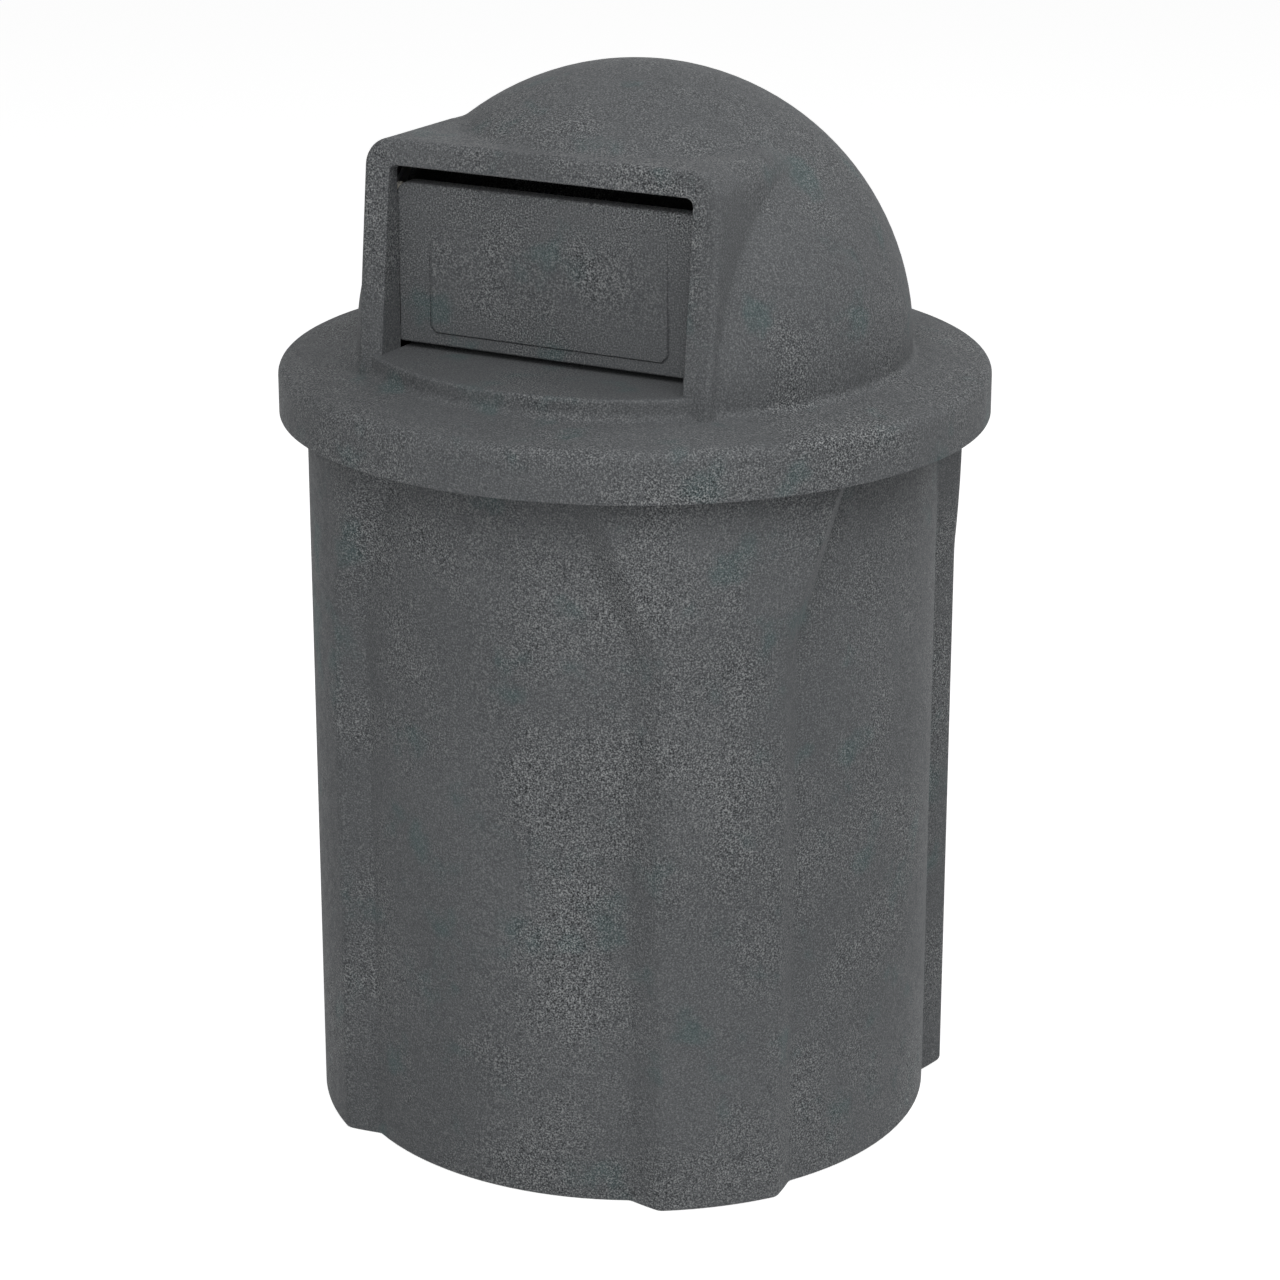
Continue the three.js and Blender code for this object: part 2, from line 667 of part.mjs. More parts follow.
// Pan head screws with a hexagonal recess, driven upwards into threaded inserts that are moulded into the bosses.
function makeFasteners() {
  const headTop = footTop - bracketThickness - gap;
  const headBottom = headTop - screwHeadHeight;
  const dish = screwHeadHeight / 3;
  const screwProfile = [
    [0, headBottom],
    [screwHeadRadius - dish, headBottom],
    [screwHeadRadius, headBottom + dish],
    [screwHeadRadius, headTop],
    [screwRadius, headTop],
    [screwRadius, headTop + screwLength - screwRadius / 2],
    [screwRadius / 2, headTop + screwLength],
    [0, headTop + screwLength],
  ];
  const insertStart = bossEnd + gap;
  const insertEnd = insertStart + insertLength;
  const insertProfile = [
    [shankHole, insertStart],
    [insertRadius, insertStart],
    [insertRadius, insertEnd],
    [shankHole, insertEnd],
    [shankHole, insertStart],
  ];
  const recessDepth = screwHeadHeight / 2;
  const hexagon = barAlongZ(screwSocket, headBottom - 1, headBottom + recessDepth, 0, 0, 6);
  const screw = turned(screwProfile, screwSegments).subtract(hexagon);
  const insert = turned(insertProfile, screwSegments);
  screwReaches.forEach((reach, i) => {
    const place = [screwX, -reach, 0];
    const position = i === 0 ? "rear" : "front";
    addPair("bracket_screw_" + position, screw.translate(place), stainlessSteel);
    addPair("threaded_insert_" + position, insert.translate(place), brass);
  });
}

// Rubber pads on the ends of the jambs, which the hanging door rests against.
function makePads() {
  const inside = openingWidth / 2 + (lidWall - padWidth) / 2;
  const bottom = doorBottom + padRise;
  const back = -jambEndReach + gap;
  const pad = block([inside, back, bottom], [inside + padWidth, back + padThickness, bottom + padHeight]);
  addPair("stop_pad", pad, rubber);
}

makeBody();
makeLiner();
makeLid();
makeDoor();
makeRod();
makeBushes();
makeClips();
makeBrackets();
makeFasteners();
makePads();

export default receptacle;
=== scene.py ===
"""Dresses the dome top waste receptacle: finer mouldings, granite plastic, light and camera."""

import json
import logging
import math
from collections.abc import Callable, Sequence
from dataclasses import dataclass, field
from enum import Enum

import bmesh
import bpy
from mathutils import Matrix, Vector

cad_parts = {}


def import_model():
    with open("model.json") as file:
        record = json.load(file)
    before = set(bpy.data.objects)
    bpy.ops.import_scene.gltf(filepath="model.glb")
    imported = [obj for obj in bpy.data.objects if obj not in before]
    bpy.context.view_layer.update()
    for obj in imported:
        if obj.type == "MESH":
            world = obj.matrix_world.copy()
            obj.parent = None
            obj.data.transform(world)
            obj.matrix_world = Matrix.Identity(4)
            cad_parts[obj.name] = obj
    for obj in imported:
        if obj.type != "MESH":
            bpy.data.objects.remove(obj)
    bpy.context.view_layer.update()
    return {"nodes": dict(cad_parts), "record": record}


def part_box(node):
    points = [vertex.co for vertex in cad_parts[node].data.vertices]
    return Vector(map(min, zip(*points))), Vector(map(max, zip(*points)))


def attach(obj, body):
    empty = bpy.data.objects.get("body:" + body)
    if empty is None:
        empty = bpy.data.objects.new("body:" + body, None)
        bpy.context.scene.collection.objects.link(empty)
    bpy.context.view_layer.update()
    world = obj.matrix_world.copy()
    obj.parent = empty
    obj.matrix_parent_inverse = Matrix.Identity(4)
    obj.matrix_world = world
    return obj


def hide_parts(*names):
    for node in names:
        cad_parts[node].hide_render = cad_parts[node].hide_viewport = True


log = logging.getLogger("receptacle")

Profile = list[tuple[float, float]]
Colour = tuple[float, float, float]
Range = tuple[float, float]

FULL_TURN = 2 * math.pi
QUARTER_TURN = 90  # degrees
TINY = 1e-6
ON_PLANE = 1e-5  # a point this near a plane lies on it
SNAP = 0.0002  # points closer than this become one after a cut
WALL_LIMIT = 1.5  # how much thicker than stated a wall may be in a sharp corner
SHARP = math.radians(38)  # faces that meet at more than this keep a sharp edge
BORE_SIDES = 32  # sides of a small round hole, bar or boss
FINE_STEPS = 2  # parts in the rounding of a small edge
MIDDLE_TONES: Range = (0.3, 0.7)  # the values that a cloud pattern mostly has
MIX_INPUTS = ("Factor_Float", "A_Color", "B_Color")
INSERTS = [f"threaded_insert_{end}_{side}" for end in ("rear", "front") for side in ("right", "left")]


class Change(Enum):
    """How one closed form changes another."""

    ADD = "UNION"
    CUT = "DIFFERENCE"


class Slot(Enum):
    """The record's material slots."""

    GRANITE = "granite_plastic"
    LINER = "liner_plastic"
    PLATED = "plated_steel"
    STAINLESS = "stainless_steel"
    BRASS = "brass"
    NYLON = "nylon"
    RUBBER = "rubber"


# ---- Finishes ----------------------------------------------------------------------------------------


def linear(red: float, green: float, blue: float) -> Colour:
    """A colour as the eye names it, from 0 to 255, as the shader wants it.

    Args:
        red: Amount of red.
        green: Amount of green.
        blue: Amount of blue.

    Returns:
        The linear colour, from 0 to 1.
    """

    def one(value: float) -> float:
        """One channel made linear."""
        share = value / 255
        return share / 12.92 if share <= 0.04045 else ((share + 0.055) / 1.055) ** 2.4

    return one(red), one(green), one(blue)


class Graph:
    """A material's nodes, with short ways to add and join them."""

    noise_roughness = 0.55

    def __init__(self, name: str) -> None:
        """Starts a material with its shader and the piece's own coordinates.

        Args:
            name: The material's name.
        """
        self.material = bpy.data.materials.new(name)
        self.material.use_nodes = True
        self.nodes = self.material.node_tree.nodes
        self.links = self.material.node_tree.links
        self.shader = self.nodes["Principled BSDF"]
        self.place = self.add("ShaderNodeTexCoord").outputs["Object"]

    def add(self, kind: str, **settings: object) -> bpy.types.Node:
        """Adds a node.

        Args:
            kind: The node's type.
            **settings: What is set on it.

        Returns:
            The node.
        """
        node = self.nodes.new(kind)
        for name, value in settings.items():
            setattr(node, name, value)
        return node

    def feed(self, node: bpy.types.Node, **sources: object) -> bpy.types.Node:
        """Sets a node's inputs, from another node's output or as a plain value.

        Args:
            node: The node whose inputs are set.
            **sources: Input names, with _ for a space, and what goes in.

        Returns:
            The same node.
        """
        for name, source in sources.items():
            socket = node.inputs[name.replace("_", " ")]
            if isinstance(source, bpy.types.NodeSocket):
                self.links.new(source, socket)
            else:
                socket.default_value = source
        return node

    def moved(self, offset: Colour) -> bpy.types.NodeSocket:
        """The coordinates shifted, so that two patterns don't fall on each other."""
        node = self.add("ShaderNodeMapping")
        return self.feed(node, Vector=self.place, Location=offset).outputs["Vector"]

    def noise(self, scale: float, detail: float, offset: Colour = (0, 0, 0)) -> bpy.types.NodeSocket:
        """A cloud pattern with a number of patches to the metre.

        Args:
            scale: Patches to the metre.
            detail: How much finer detail lies in the patches.
            offset: Where the pattern is shifted to.

        Returns:
            The pattern's value, from 0 to 1.
        """
        node = self.add("ShaderNodeTexNoise")
        place = self.moved(offset)
        self.feed(node, Vector=place, Scale=scale, Detail=detail, Roughness=self.noise_roughness)
        return node.outputs["Fac"]

    def stretch(
        self, source: bpy.types.NodeSocket, low: float, high: float, to_low: float = 0, to_high: float = 1
    ) -> bpy.types.NodeSocket:
        """A value taken from one range to another, with soft ends.

        Args:
            source: The value.
            low: Where the range starts.
            high: Where it ends.
            to_low: What comes out at the start.
            to_high: What comes out at the end.

        Returns:
            The new value.
        """
        node = self.add("ShaderNodeMapRange", interpolation_type="SMOOTHSTEP")
        self.feed(node, Value=source, From_Min=low, From_Max=high, To_Min=to_low, To_Max=to_high)
        return node.outputs["Result"]

    def product(self, first: bpy.types.NodeSocket, second: bpy.types.NodeSocket) -> bpy.types.NodeSocket:
        """One value times another.

        Args:
            first: The one value.
            second: The other.

        Returns:
            The product.
        """
        node = self.add("ShaderNodeMath", operation="MULTIPLY")
        self.links.new(first, node.inputs[0])
        self.links.new(second, node.inputs[1])
        return node.outputs[0]

    def mix(self, share: bpy.types.NodeSocket, first: object, second: Colour) -> bpy.types.NodeSocket:
        """A colour between two.

        Args:
            share: How much of the second colour.
            first: A colour, or another node's colour.
            second: The colour that is mixed in.

        Returns:
            The mixed colour.
        """
        node = self.add("ShaderNodeMix", data_type="RGBA")
        factor, start, end = (next(s for s in node.inputs if s.identifier == name) for name in MIX_INPUTS)
        self.links.new(share, factor)
        end.default_value = (*second, 1)
        if isinstance(first, bpy.types.NodeSocket):
            self.links.new(first, start)
        else:
            start.default_value = (*first, 1)
        return next(s for s in node.outputs if s.identifier == "Result_Color")

    def bump(self, height: bpy.types.NodeSocket, depth: float, strength: float) -> None:
        """Roughens the surface.

        Args:
            height: The pattern of the relief.
            depth: How deep it is, in metres.
            strength: How much of it shows.
        """
        node = self.add("ShaderNodeBump")
        self.feed(node, Height=height, Distance=depth, Strength=strength)
        self.links.new(node.outputs["Normal"], self.shader.inputs["Normal"])


@dataclass(frozen=True)
class GranitePlastic:
    """Matt rotomoulded plastic with light and dark granite flecks, thicker in some patches."""

    name: str = "granite plastic"
    base: Colour = linear(87, 89, 91)
    cloud: Colour = linear(94, 96, 98)
    teal: Colour = linear(70, 92, 92)
    light: Colour = linear(156, 158, 158)
    dark: Colour = linear(14, 16, 19)
    clouds_per_metre: float = 5
    cloud_tones: Range = (0.35, 0.68)
    tints_per_metre: float = 16
    tint_place: Colour = (3.1, 0.7, 1.9)
    tint_tones: Range = (0.56, 0.72)
    tint_share: float = 0.5
    patches_per_metre: float = 6.5
    patch_place: Colour = (1.4, 2.4, 7.9)
    patch_tones: Range = (0.40, 0.70)
    calm: float = 0.3
    grains_per_metre: float = 620
    spread: float = 0.40
    grain_depth: float = 0.0006
    grain_strength: float = 0.3
    sheen_per_metre: float = 120
    roughness: Range = (0.70, 0.88)
    shine: float = 0.3

    def make(self) -> bpy.types.Material:
        """Makes the finish.

        Returns:
            Its material.
        """
        graph = Graph(self.name)
        clouds = graph.stretch(graph.noise(self.clouds_per_metre, detail=3), *self.cloud_tones)
        colour = graph.mix(clouds, self.base, self.cloud)
        tint = graph.noise(self.tints_per_metre, detail=3, offset=self.tint_place)
        colour = graph.mix(graph.stretch(tint, *self.tint_tones, 0, self.tint_share), colour, self.teal)
        patches = graph.noise(self.patches_per_metre, detail=4, offset=self.patch_place)
        strength = graph.stretch(patches, *self.patch_tones, self.calm, 1)
        grain = graph.noise(self.grains_per_metre, detail=1)
        dark = graph.stretch(grain, 0.5, 0.5 - self.spread / 2)
        colour = graph.mix(graph.product(dark, strength), colour, self.dark)
        light = graph.stretch(grain, 0.5, 0.5 + self.spread / 2)
        colour = graph.mix(graph.product(light, strength), colour, self.light)
        sheen = graph.noise(self.sheen_per_metre, detail=2)
        rough = graph.stretch(sheen, *MIDDLE_TONES, *self.roughness)
        graph.feed(graph.shader, Base_Color=colour, Roughness=rough, Specular_IOR_Level=self.shine)
        graph.bump(grain, self.grain_depth, self.grain_strength)
        return graph.material


@dataclass(frozen=True)
class PlainPlastic:
    """Moulded plastic of one colour, a little cloudy, with fine scuffs."""

    name: str
    base: Colour
    cloud: Colour
    roughness: Range
    scuffs_per_metre: float = 160
    clouds_per_metre: float = 9
    shine: float = 0.4
    relief_depth: float = 0.0002
    relief_strength: float = 0.2

    def make(self) -> bpy.types.Material:
        """Makes the finish.

        Returns:
            Its material.
        """
        graph = Graph(self.name)
        clouds = graph.stretch(graph.noise(self.clouds_per_metre, detail=4), *MIDDLE_TONES)
        colour = graph.mix(clouds, self.base, self.cloud)
        scuffs = graph.noise(self.scuffs_per_metre, detail=5)
        rough = graph.stretch(scuffs, *MIDDLE_TONES, *self.roughness)
        graph.feed(graph.shader, Base_Color=colour, Roughness=rough, Specular_IOR_Level=self.shine)
        relief = graph.noise(self.scuffs_per_metre * 4, detail=3)
        graph.bump(relief, self.relief_depth, self.relief_strength)
        return graph.material


@dataclass(frozen=True)
class Metal:
    """Bare or plated metal, a little cloudy, with fine wear."""

    name: str
    base: Colour
    cloud: Colour
    roughness: Range
    clouds_per_metre: float = 90
    wear_per_metre: float = 450
    relief_per_metre: float = 1400
    relief_depth: float = 0.0001
    relief_strength: float = 0.15

    def make(self) -> bpy.types.Material:
        """Makes the finish.

        Returns:
            Its material.
        """
        graph = Graph(self.name)
        clouds = graph.stretch(graph.noise(self.clouds_per_metre, detail=4), *MIDDLE_TONES)
        colour = graph.mix(clouds, self.base, self.cloud)
        wear = graph.noise(self.wear_per_metre, detail=4)
        rough = graph.stretch(wear, *MIDDLE_TONES, *self.roughness)
        graph.feed(graph.shader, Base_Color=colour, Roughness=rough, Metallic=1.0)
        relief = graph.noise(self.relief_per_metre, detail=2)
        graph.bump(relief, self.relief_depth, self.relief_strength)
        return graph.material


FINISHES = {
    Slot.GRANITE: GranitePlastic(),
    Slot.LINER: PlainPlastic("liner plastic", linear(40, 42, 44), linear(50, 52, 54), (0.45, 0.65)),
    Slot.PLATED: Metal("plated steel", linear(168, 172, 175), linear(190, 191, 186), (0.28, 0.45)),
    Slot.STAINLESS: Metal("stainless steel", linear(192, 194, 196), linear(205, 206, 207), (0.2, 0.36)),
    Slot.BRASS: Metal("brass", linear(176, 141, 74), linear(196, 164, 100), (0.24, 0.4)),
    Slot.NYLON: PlainPlastic("nylon", linear(226, 222, 210), linear(236, 233, 224), (0.38, 0.52)),
    Slot.RUBBER: PlainPlastic("rubber", linear(27, 28, 29), linear(36, 37, 38), (0.8, 0.95), 400),
}
MATERIALS: dict[Slot, bpy.types.Material] = {}


# ---- Ways of working ---------------------------------------------------------------------------------


def arc(centre: tuple[float, float], radius: float, start: float, end: float, steps: int) -> Profile:
    """Points of an arc, both ends included.

    Args:
        centre: The arc's middle.
        radius: Its radius.
        start: Where it starts, in degrees.
        end: Where it ends, in degrees.
        steps: The number of parts.

    Returns:
        The points.
    """
    angles = [math.radians(start + (end - start) * i / steps) for i in range(steps + 1)]
    return [(centre[0] + radius * math.cos(a), centre[1] + radius * math.sin(a)) for a in angles]


def spun(profile: Profile, steps: int) -> bmesh.types.BMesh:
    """A profile of radius and height turned about the part's axis.

    Args:
        profile: Points from the axis outwards or back to it.
        steps: The number of parts in the full turn.

    Returns:
        The form, its faces outwards.
    """
    bm = bmesh.new()
    verts = [bm.verts.new((radius, 0, height)) for radius, height in profile]
    edges = [bm.edges.new(pair) for pair in zip(verts, verts[1:])]
    bmesh.ops.spin(
        bm, geom=verts + edges, cent=(0, 0, 0), axis=(0, 0, 1), angle=FULL_TURN, steps=steps, use_merge=True
    )
    bmesh.ops.remove_doubles(bm, verts=bm.verts, dist=TINY)
    bmesh.ops.recalc_face_normals(bm, faces=bm.faces)
    return bm


def box(low: Sequence[float], high: Sequence[float]) -> bmesh.types.BMesh:
    """A block between two corners.

    Args:
        low: The lowest corner.
        high: The highest corner.

    Returns:
        The block.
    """
    bm = bmesh.new()
    bmesh.ops.create_cube(bm, size=1)
    size = Vector(high) - Vector(low)
    middle = (Vector(high) + Vector(low)) / 2
    bmesh.ops.scale(bm, vec=size, verts=bm.verts)
    bmesh.ops.translate(bm, vec=middle, verts=bm.verts)
    return bm


def rod(radius: float, start: Vector, end: Vector) -> bmesh.types.BMesh:
    """A round bar between two points.

    Args:
        radius: Its radius.
        start: The middle of one end.
        end: The middle of the other.

    Returns:
        The bar.
    """
    bm = bmesh.new()
    along = end - start
    turn = along.to_track_quat("Z", "Y").to_matrix().to_4x4()
    bmesh.ops.create_cone(
        bm,
        cap_ends=True,
        segments=BORE_SIDES,
        radius1=radius,
        radius2=radius,
        depth=along.length,
        matrix=Matrix.Translation((start + end) / 2) @ turn,
    )
    return bm


def slab(outline: Profile, front: float, back: float) -> bmesh.types.BMesh:
    """An outline seen from the front, made solid from front to back.

    Args:
        outline: Its points, in X and Z.
        front: Where its front is, along Y.
        back: Where its back is.

    Returns:
        The slab.
    """
    bm = bmesh.new()
    face = bm.faces.new([bm.verts.new((x, front, z)) for x, z in outline])
    made = bmesh.ops.extrude_face_region(bm, geom=[face])
    ends = [v for v in made["geom"] if isinstance(v, bmesh.types.BMVert)]
    bmesh.ops.translate(bm, vec=(0, back - front, 0), verts=ends)
    bmesh.ops.recalc_face_normals(bm, faces=bm.faces)
    return bm


def rounded(corners: Profile, radii: Sequence[float], steps: int) -> Profile:
    """An outline with its corners rounded, all of them right angles.

    Args:
        corners: The sharp corners, in order.
        radii: Each corner's radius.
        steps: Parts in each rounding.

    Returns:
        The outline's points, in order, from the first corner on.
    """
    bm = bmesh.new()
    verts = [bm.verts.new((x, 0, z)) for x, z in corners]
    bm.faces.new(verts)
    for vert, radius in zip(verts, radii):
        if radius > 0:
            bmesh.ops.bevel(
                bm, geom=[vert], offset=radius, segments=steps, profile=0.5, affect="VERTICES", material=-1
            )
    bm.faces.ensure_lookup_table()
    outline = [(v.co.x, v.co.z) for v in bm.faces[0].verts]
    bm.free()
    start = outline.index(min(outline, key=lambda point: math.dist(point, corners[0])))
    return outline[start:] + outline[:start]


def spaced(outline: Profile, spacing: float) -> Profile:
    """An outline with points added along its long sides, but for its last one.

    Args:
        outline: The outline.
        spacing: About how far apart the points are.

    Returns:
        All its points, in order.
    """
    made = [outline[-1]]
    for (x, z), (next_x, next_z) in zip(outline, outline[1:]):
        parts = max(1, round(math.hypot(next_x - x, next_z - z) / spacing))
        made += [(x + (next_x - x) * i / parts, z + (next_z - z) * i / parts) for i in range(parts)]
    return made


def absorb(bm: bmesh.types.BMesh, other: bmesh.types.BMesh) -> None:
    """Adds another form's mesh to a form as it is.

    Args:
        bm: The form.
        other: The form that is added, which is used up.
    """
    mesh = bpy.data.meshes.new("step")
    other.to_mesh(mesh)
    other.free()
    bm.from_mesh(mesh)
    bpy.data.meshes.remove(mesh)


def face_out(bm: bmesh.types.BMesh) -> None:
    """Turns a round skin's faces outwards, if they look at the axis.

    Args:
        bm: The skin.
    """
    balance = sum(f.normal.xy.dot(f.calc_center_median().xy) * f.calc_area() for f in bm.faces)
    if balance < 0:
        bmesh.ops.reverse_faces(bm, faces=bm.faces)


def temporary(bm: bmesh.types.BMesh) -> bpy.types.Object:
    """A mesh object for a step in between.

    Args:
        bm: Its mesh, which is used up.

    Returns:
        The object.
    """
    mesh = bpy.data.meshes.new("step")
    bm.to_mesh(mesh)
    bm.free()
    obj = bpy.data.objects.new("step", mesh)
    bpy.context.scene.collection.objects.link(obj)
    return obj


def evaluated(obj: bpy.types.Object, *others: bpy.types.Object) -> bmesh.types.BMesh:
    """An object's mesh with its modifiers applied.

    Args:
        obj: The object, which is removed.
        *others: More objects that are removed with it.

    Returns:
        The mesh.
    """
    bm = bmesh.new()
    bm.from_object(obj, bpy.context.evaluated_depsgraph_get())
    for old in (obj, *others):
        mesh = old.data
        bpy.data.objects.remove(old)
        bpy.data.meshes.remove(mesh)
    return bm


def changed(form: bmesh.types.BMesh, tool: bmesh.types.BMesh, how: Change) -> bmesh.types.BMesh:
    """A closed form with another added to it or cut from it. Both are used up.

    Args:
        form: The form that is changed.
        tool: The form that is added or cut away.
        how: Which of the two.

    Returns:
        The new form.
    """
    body, cutter = temporary(form), temporary(tool)
    step = body.modifiers.new("change", "BOOLEAN")
    step.operation = how.value
    step.object = cutter
    step.solver = "EXACT"
    return evaluated(body, cutter)


def walled(skin: bmesh.types.BMesh, wall: float) -> bmesh.types.BMesh:
    """An outer skin given its wall, inwards.

    Args:
        skin: The open skin, its faces outwards.
        wall: The thickness.

    Returns:
        The closed wall.
    """
    count = len(skin.verts)
    body = temporary(skin)
    step = body.modifiers.new("wall", "SOLIDIFY")
    step.thickness = wall
    step.offset = -1
    step.use_even_offset = True
    step.use_rim = True
    form = evaluated(body)
    form.verts.ensure_lookup_table()
    for outer, inner in zip(form.verts[:count], form.verts[count:]):
        across = inner.co - outer.co
        if across.length > WALL_LIMIT * wall:
            inner.co = outer.co + across.normalized() * wall
    return form


def round_edges(
    bm: bmesh.types.BMesh, chosen: Callable[[bmesh.types.BMEdge], bool], radius: float, steps: int
) -> None:
    """Rounds the edges that are chosen.

    Args:
        bm: The form.
        chosen: Says of an edge whether it is rounded.
        radius: The rounding's width on each face.
        steps: Parts in the rounding.
    """
    edges = [e for e in bm.edges if chosen(e)]
    bmesh.ops.bevel(
        bm,
        geom=edges,
        offset=radius,
        segments=steps,
        profile=0.5,
        affect="EDGES",
        material=-1,
        clamp_overlap=True,
        loop_slide=True,
    )


def both(edge: bmesh.types.BMEdge, test: Callable[[Vector], bool]) -> bool:
    """Whether both ends of an edge pass a test of their place."""
    return all(test(vert.co) for vert in edge.verts)


def is_round(edge: bmesh.types.BMEdge, slack: float) -> bool:
    """Whether both ends of an edge are as far from the part's axis, give or take the slack."""
    return abs(edge.verts[0].co.xy.length - edge.verts[1].co.xy.length) < slack


def finished(name: str, bm: bmesh.types.BMesh, body: str, slot: Slot, *nodes: str) -> None:
    """Makes a finished piece in its place, dressed and riding on its body.

    Args:
        name: The piece's name.
        bm: Its mesh, which is used up.
        body: The CAD body that carries it.
        slot: The finish.
        *nodes: The CAD nodes that it stands for.
    """
    mesh = bpy.data.meshes.new(name)
    bm.to_mesh(mesh)
    bm.free()
    mesh.shade_smooth()
    mesh.set_sharp_from_angle(angle=SHARP)
    mesh.materials.append(MATERIALS[slot])
    piece = bpy.data.objects.new(name, mesh)
    bpy.context.scene.collection.objects.link(piece)
    weigh = piece.modifiers.new("even shading", "WEIGHTED_NORMAL")
    weigh.keep_sharp = True
    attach(piece, body)
    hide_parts(*nodes)
    log.info("%s: %d faces on %s", name, len(mesh.polygons), body)


# ---- Sub-assemblies ----------------------------------------------------------------------------------


@dataclass
class DomeLid:
    """The moulded lid: skirt, brim, dome and hood in one skin, with jambs and a sill.

    Attributes:
        bottom: Height of the skirt's lower edge over the ground.
    """

    bottom: float
    radius: float = 0.3555
    wall: float = 0.006
    skirt_depth: float = 0.050
    skirt_rounding: float = 0.012
    skirt_edge: float = 0.0015
    brim_slope: float = 0.109
    dome_radius: float = 0.2767
    dome_base: float = 0.0094
    dome_fillet: float = 0.009
    opening_width: float = 0.328
    opening_height: float = 0.183
    opening_rounding: float = 0.008
    opening_edge: float = 0.0018
    sill_rise: float = 0.0108
    shelf_edge: float = 0.0045
    stile_width: float = 0.0287
    lintel_height: float = 0.025
    hood_rounding: float = 0.027
    ridge_rounding: float = 0.0065
    face_reach: float = 0.213
    face_lean: float = math.radians(6.07)
    hood_draft: float = 0.016
    hood_close: float = -0.060
    hood_closing: float = 8.0
    root_blend: float = 0.006
    root_sink: float = 0.00004
    root_cover: float = 0.85
    jamb_reach: float = 0.1783
    sill_reach: float = 0.150
    boss_radius: float = 0.009
    boss_depth: float = 0.012
    boss_bore: float = 0.0048
    dome_start: float = 3
    dome_steps: int = 30
    turn_steps: int = 180
    round_steps: int = 8
    corner_steps: int = 10
    shelf_steps: int = 4
    opening_steps: int = 5
    opening_edge_steps: int = 3
    ridge_steps: int = 6
    tube_steps: int = 14
    tube_crowding: float = 1.6
    halvings: int = 40
    grid: float = 0.010

    def brim_top(self, radius: float) -> float:
        """Height of the brim's upper side at a distance from the axis."""
        return self.bottom + self.skirt_depth + self.brim_slope * (self.radius - radius)

    @property
    def centre(self) -> float:
        """Height of the middle of the half sphere."""
        return self.brim_top(self.dome_radius) + self.dome_base

    @property
    def sill(self) -> float:
        """Height of the sill and the shelf."""
        return self.centre + self.sill_rise

    @property
    def opening_top(self) -> float:
        """Height of the doorway's upper edge."""
        return self.sill + self.opening_height

    @property
    def hood_top(self) -> float:
        """Height of the hood."""
        return self.opening_top + self.lintel_height

    @property
    def hood_half(self) -> float:
        """Half the hood's width."""
        return self.opening_width / 2 + self.stile_width

    def face_at(self, height: float) -> float:
        """Where the leaning face is, along Y, at a height."""
        return math.tan(self.face_lean) * (height - self.sill) - self.face_reach

    def round_form(self) -> bmesh.types.BMesh:
        """Turns skirt, brim and dome.

        Returns:
            The form, solid inside.
        """
        outer, dome = self.radius, self.dome_radius
        turn, fillet, steps = self.skirt_rounding, self.dome_fillet, self.round_steps
        foot = dome + fillet
        profile = [(0, self.bottom), (outer, self.bottom)]
        profile += arc((outer - turn, self.brim_top(outer - turn) - turn), turn, 0, 90, steps)
        profile += arc((foot, self.brim_top(foot) + fillet), fillet, 270, 180, steps)
        profile += arc((0, self.centre), dome, self.dome_start, 90, self.dome_steps)[:-1]
        profile.append((0, self.centre + dome))
        return spun(profile, self.turn_steps)

    def recess(self) -> bmesh.types.BMesh:
        """The space over the shelf and before the hood.

        Returns:
            A block that ends a little behind the hood's face.
        """
        far = 2 * self.radius
        bm = box((-far, -far, self.sill), (far, 0, self.sill + far))
        for vert in bm.verts:
            if vert.co.y > -far / 2:
                vert.co.y = self.face_at(vert.co.z) + self.ridge_rounding
        return bm

    def hood_normal(self, x: float, z: float) -> Vector:
        """Which way the hood's skin faces at a point of its outline.

        Args:
            x: The point's place across.
            z: Its height.

        Returns:
            The direction in X and Z, of length 1, or 0 well inside the outline.
        """
        corner_x = self.hood_half - self.hood_rounding
        corner_z = self.hood_top - self.hood_rounding
        away = Vector((max(abs(x) - corner_x, 0) * math.copysign(1, x), max(z - corner_z, 0)))
        if away.length < TINY:
            return Vector((0, 0))
        return away.normalized()

    def dome_over(self, x: float, z: float, normal: Vector, y: float) -> float:
        """How far the dome's surface lies outside a point.

        Args:
            x: The point's place across.
            z: Its height.
            normal: The direction to measure along, in X and Z.
            y: The point's place along Y.

        Returns:
            The distance, which is negative if the surface lies inside.
        """
        point = Vector((x, z - self.centre))
        reach = self.dome_radius
        if point.y < 0:
            point.y = 0
            lift = self.brim_top(self.dome_radius + self.dome_fillet) + self.dome_fillet - z
            drop = min(max(lift, 0), self.dome_fillet)
            reach += self.dome_fillet - math.sqrt(self.dome_fillet**2 - drop**2)
        along = point.dot(normal)
        inside = along**2 - point.length_squared + reach**2 - y**2
        return -self.radius if inside < 0 else math.sqrt(inside) - along

    def hood_inset(self, y: float) -> float:
        """How far the hood has closed in at a distance along Y."""
        draft = self.hood_draft * (y + self.face_reach)
        return draft + self.hood_closing * max(0, y - self.hood_close) ** 2

    def landing(self, x: float, z: float, normal: Vector, start: float) -> float:
        """Where a line of the hood's skin has settled on the dome.

        Args:
            x: The line's place across.
            z: Its height.
            normal: Which way the skin faces there.
            start: Where the line starts, along Y.

        Returns:
            The place along Y.
        """
        near, far = start, 0.0
        for _ in range(self.halvings):
            middle = (near + far) / 2
            settled = self.dome_over(x, z, normal, middle) + self.hood_inset(middle) > self.root_blend
            near, far = (near, middle) if settled else (middle, far)
        return far

